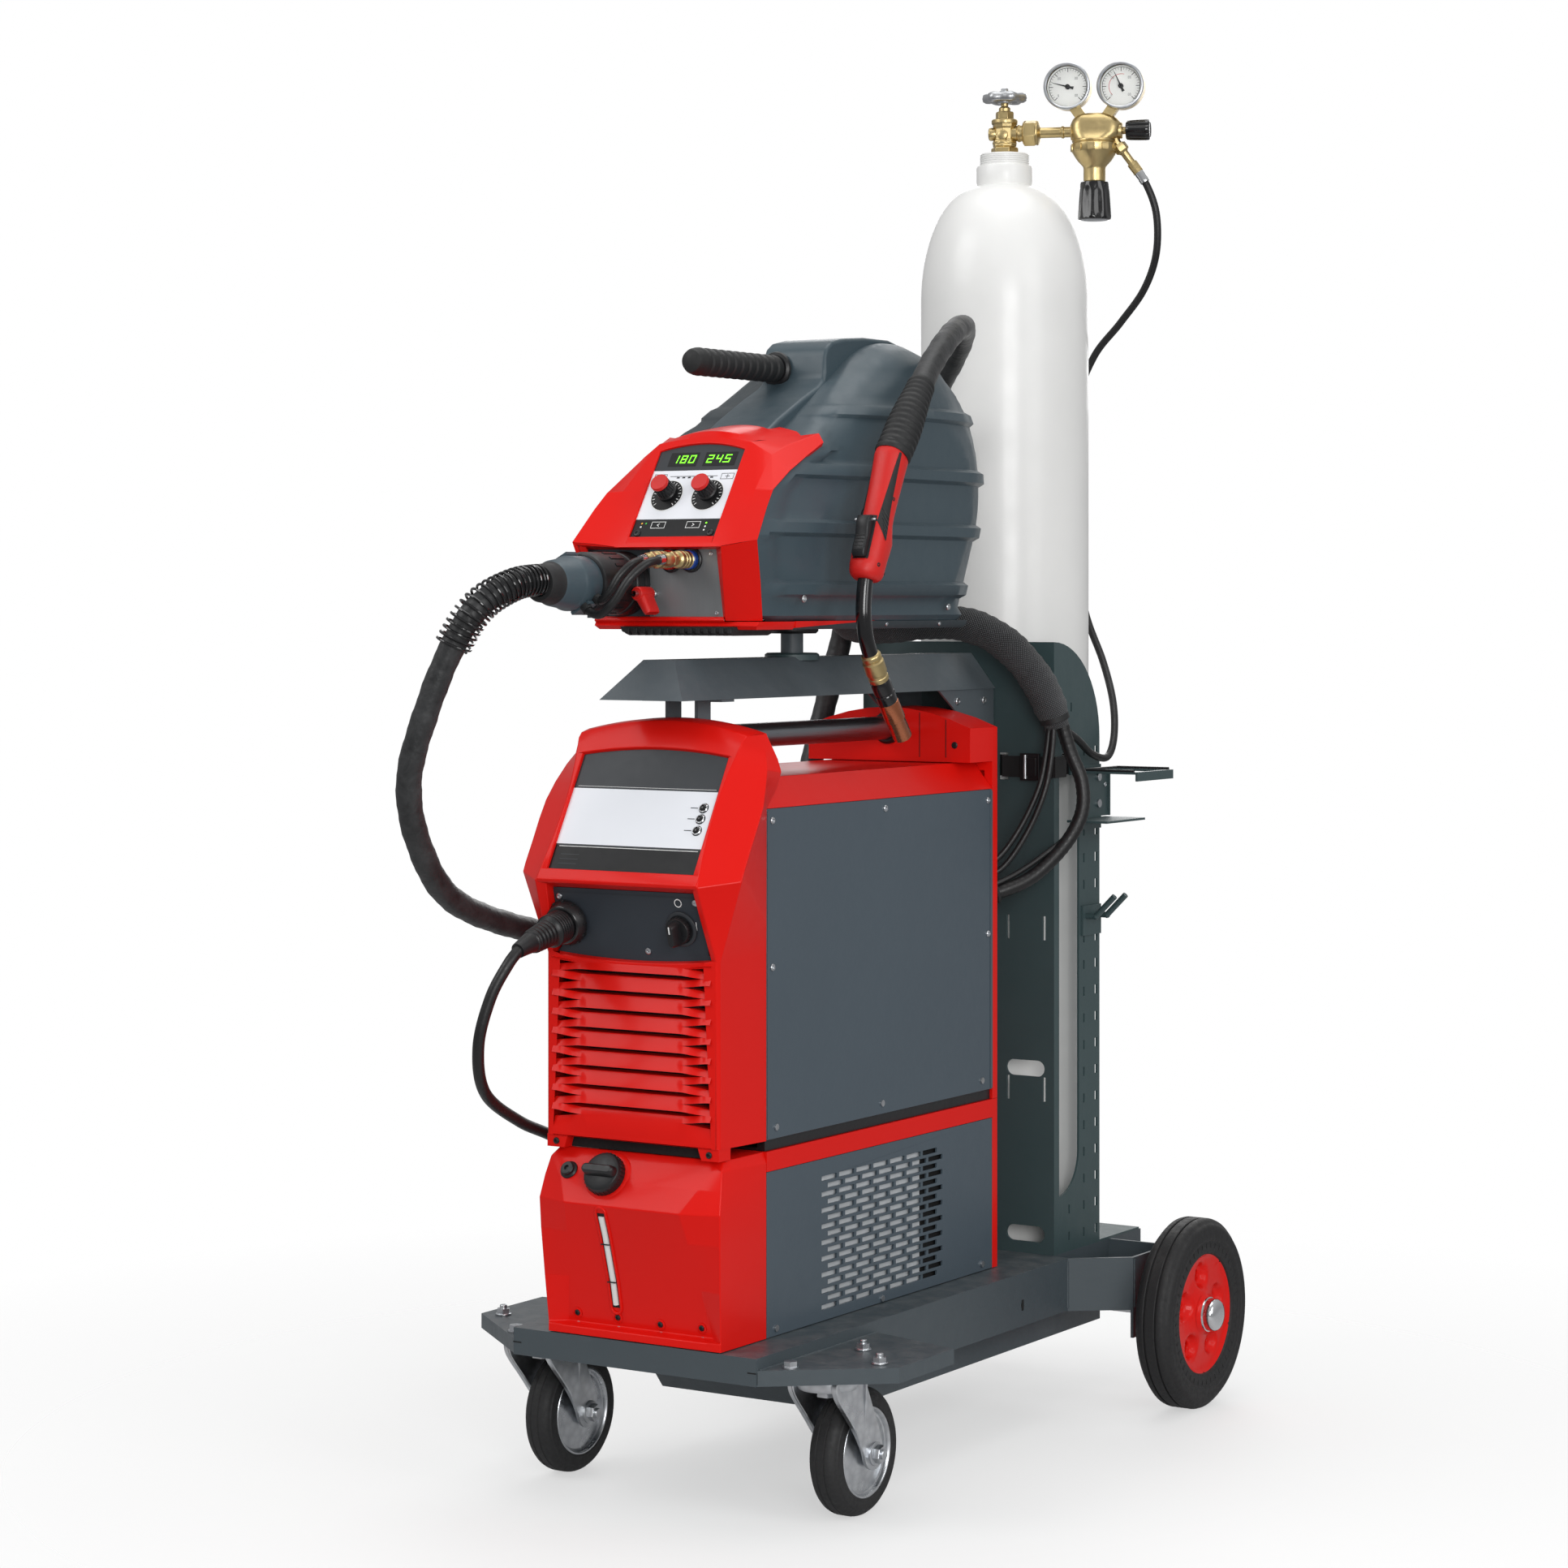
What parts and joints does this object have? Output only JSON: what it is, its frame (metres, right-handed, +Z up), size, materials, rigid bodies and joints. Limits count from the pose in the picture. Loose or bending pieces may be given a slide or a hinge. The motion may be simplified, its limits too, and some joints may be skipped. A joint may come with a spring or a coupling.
{
  "type": "mig welder on cart",
  "caption": "Welding set on a wheeled cart: power source on a cooling unit, swivelling wire feeder on a shelf above, gas cylinder with regulator behind, torch and cables.",
  "frame": {"origin": "on the floor, under the middle of the set (cords left out)", "axes": "+Z up, -Y to the front (control panels and casters), +X to the side with the regulator and torch holder"},
  "size_m": [0.652, 1.224, 1.8015],
  "materials": {
    "grey_paint": "fine satin powder coat",
    "dark_paint": "fine satin powder coat",
    "red_paint": "satin",
    "red_plastic": "satin moulded",
    "zinc": "bright zinc",
    "tyre": "matt rubber",
    "webbing": "woven webbing",
    "white_paint": "gloss",
    "brass": "bright",
    "copper": "bright",
    "alloy": "cast satin",
    "wire": "wound wire",
    "panel_film": "satin film",
    "electronics": "satin",
    "tank_plastic": "translucent",
    "black_plastic": "satin",
    "hose_rubber": "satin",
    "sleeve": "woven braid"
  },
  "bodies": {
    "cart": {"cart_frame": "grey_paint", "rear_axle": "zinc", "caster_plates": "zinc", "cylinder_column": "dark_paint", "feeder_shelf": "dark_paint", "column_brackets": "dark_paint", "cylinder_strap": "webbing", "gas_cylinder": "white_paint", "cylinder_valve": "brass", "regulator": "brass", "source_front": "red_paint", "source_panels": "panel_film", "source_cover": "red_paint", "source_sides": "grey_paint", "source_rear": "red_paint", "source_handle": "grey_paint", "source_core": "electronics", "cooler_casing": "red_paint", "cooler_sides": "grey_paint", "coolant_tank": "tank_plastic", "radiator": "alloy", "fasteners": "zinc", "return_plug": "black_plastic", "return_cable": "hose_rubber", "return_coil": "hose_rubber", "interconnect_hose": "sleeve", "gas_hose": "hose_rubber", "clamp_body": "brass"},
    "feeder": {"feeder_cover_right": "grey_paint", "feeder_cover_left": "dark_paint", "feeder_front": "red_plastic", "feeder_panel": "panel_film", "feeder_base": "red_plastic", "feeder_handle": "grey_paint", "drive_unit": "alloy", "torch_connector": "black_plastic", "water_couplings": "brass", "torch_handle": "red_plastic", "torch_neck": "copper", "torch_hose": "hose_rubber"},
    "rear_wheel_left": {"rear_wheel_left": "tyre"},
    "rear_wheel_right": {"rear_wheel_right": "tyre"},
    "caster_left": {"caster_fork_left": "zinc"},
    "caster_right": {"caster_fork_right": "zinc"},
    "caster_wheel_left": {"caster_wheel_left": "tyre"},
    "caster_wheel_right": {"caster_wheel_right": "tyre"},
    "valve_handwheel": {"valve_handwheel": "alloy"},
    "regulator_knob": {"regulator_knob": "black_plastic"},
    "flow_knob": {"flow_knob": "black_plastic"},
    "gauge_needle_left": {"gauge_needle_left": "black_plastic"},
    "gauge_needle_right": {"gauge_needle_right": "black_plastic"},
    "main_switch": {"main_switch": "black_plastic"},
    "filler_cap": {"filler_cap": "black_plastic"},
    "cooling_fan": {"cooling_fan": "black_plastic"},
    "clamp_jaw": {"clamp_jaw": "brass"},
    "lock_lever": {"lock_lever": "red_plastic"},
    "feed_knob_left": {"feed_knob_left": "red_plastic"},
    "feed_knob_right": {"feed_knob_right": "red_plastic"},
    "wire_spool": {"wire_spool": "wire"},
    "torch_trigger": {"torch_trigger": "black_plastic"}
  },
  "joints": [
    {"name": "rear_wheel_left_roll", "type": "hinge", "parent": "cart", "child": "rear_wheel_left", "pos_m": [-0.284, 0.399, 0.125], "axis": [1, 0, 0], "continuous": true},
    {"name": "rear_wheel_right_roll", "type": "hinge", "parent": "cart", "child": "rear_wheel_right", "pos_m": [0.284, 0.399, 0.125], "axis": [1, 0, 0], "continuous": true},
    {"name": "caster_left_swivel", "type": "hinge", "parent": "cart", "child": "caster_left", "pos_m": [-0.204, -0.39, 0.165], "axis": [0, 0, 1], "continuous": true},
    {"name": "caster_right_swivel", "type": "hinge", "parent": "cart", "child": "caster_right", "pos_m": [0.204, -0.39, 0.165], "axis": [0, 0, 1], "continuous": true},
    {"name": "caster_left_roll", "type": "hinge", "parent": "caster_left", "child": "caster_wheel_left", "pos_m": [-0.204, -0.332, 0.075], "axis": [1, 0, 0], "continuous": true},
    {"name": "caster_right_roll", "type": "hinge", "parent": "caster_right", "child": "caster_wheel_right", "pos_m": [0.204, -0.332, 0.075], "axis": [1, 0, 0], "continuous": true},
    {"name": "valve_turn", "type": "hinge", "parent": "cart", "child": "valve_handwheel", "pos_m": [0, 0.401, 1.758], "axis": [0, 0, 1], "range_deg": [0, 1080]},
    {"name": "regulator_adjust", "type": "hinge", "parent": "cart", "child": "regulator_knob", "pos_m": [0.11717, 0.44158, 1.614], "axis": [0, 0, 1], "range_deg": [0, 1440]},
    {"name": "flow_adjust", "type": "hinge", "parent": "cart", "child": "flow_knob", "pos_m": [0.17387, 0.46121, 1.709], "axis": [0.9449, 0.3272, 0], "range_deg": [0, 1080]},
    {"name": "gauge_left_needle", "type": "hinge", "parent": "cart", "child": "gauge_needle_left", "pos_m": [0.08512, 0.42413, 1.77], "axis": [0.3272, -0.9449, 0], "range_deg": [-270, 0]},
    {"name": "gauge_right_needle", "type": "hinge", "parent": "cart", "child": "gauge_needle_right", "pos_m": [0.1541, 0.44801, 1.769], "axis": [0.3272, -0.9449, 0], "range_deg": [-220, 50]},
    {"name": "main_switch_turn", "type": "hinge", "parent": "cart", "child": "main_switch", "pos_m": [0.072, -0.4949, 0.6915], "axis": [0, -0.9659, -0.2588], "range_deg": [0, 90]},
    {"name": "filler_cap_turn", "type": "hinge", "parent": "cart", "child": "filler_cap", "pos_m": [-0.032, -0.4954, 0.397], "axis": [0, -0.8638, 0.5039], "range_deg": [0, 90]},
    {"name": "fan_spin", "type": "hinge", "parent": "cart", "child": "cooling_fan", "pos_m": [0, 0.123, 0.6], "axis": [0, 1, 0], "continuous": true},
    {"name": "clamp_open", "type": "hinge", "parent": "cart", "child": "clamp_jaw", "pos_m": [-0.182, 0.372, 0.416], "axis": [1, 0, 0], "range_deg": [0, 18], "stiffness_Nm_per_rad": 2, "springref_deg": -17.19},
    {"name": "feeder_swivel", "type": "hinge", "parent": "cart", "child": "feeder", "pos_m": [0, -0.144, 1.055], "axis": [0, 0, 1], "range_deg": [-40, 40], "deforming": ["torch_hose", "interconnect_hose"]},
    {"name": "lock_lever_turn", "type": "hinge", "parent": "feeder", "child": "lock_lever", "pos_m": [-0.03, -0.425, 1.078], "axis": [0, -1, 0], "range_deg": [0, 70]},
    {"name": "feed_left_turn", "type": "hinge", "parent": "feeder", "child": "feed_knob_left", "pos_m": [-0.029, -0.37741, 1.19987], "axis": [0, -0.8415, 0.5402], "range_deg": [-150, 150]},
    {"name": "feed_right_turn", "type": "hinge", "parent": "feeder", "child": "feed_knob_right", "pos_m": [0.029, -0.37741, 1.19987], "axis": [0, -0.8415, 0.5402], "range_deg": [-150, 150]},
    {"name": "spool_spin", "type": "hinge", "parent": "feeder", "child": "wire_spool", "pos_m": [0, -0.005, 1.213], "axis": [1, 0, 0], "continuous": true},
    {"name": "trigger_press", "type": "hinge", "parent": "feeder", "child": "torch_trigger", "pos_m": [0.185, -0.272, 1.166], "axis": [1, 0, 0], "range_deg": [0, 7], "stiffness_Nm_per_rad": 0.3, "springref_deg": -5.73}
  ]
}
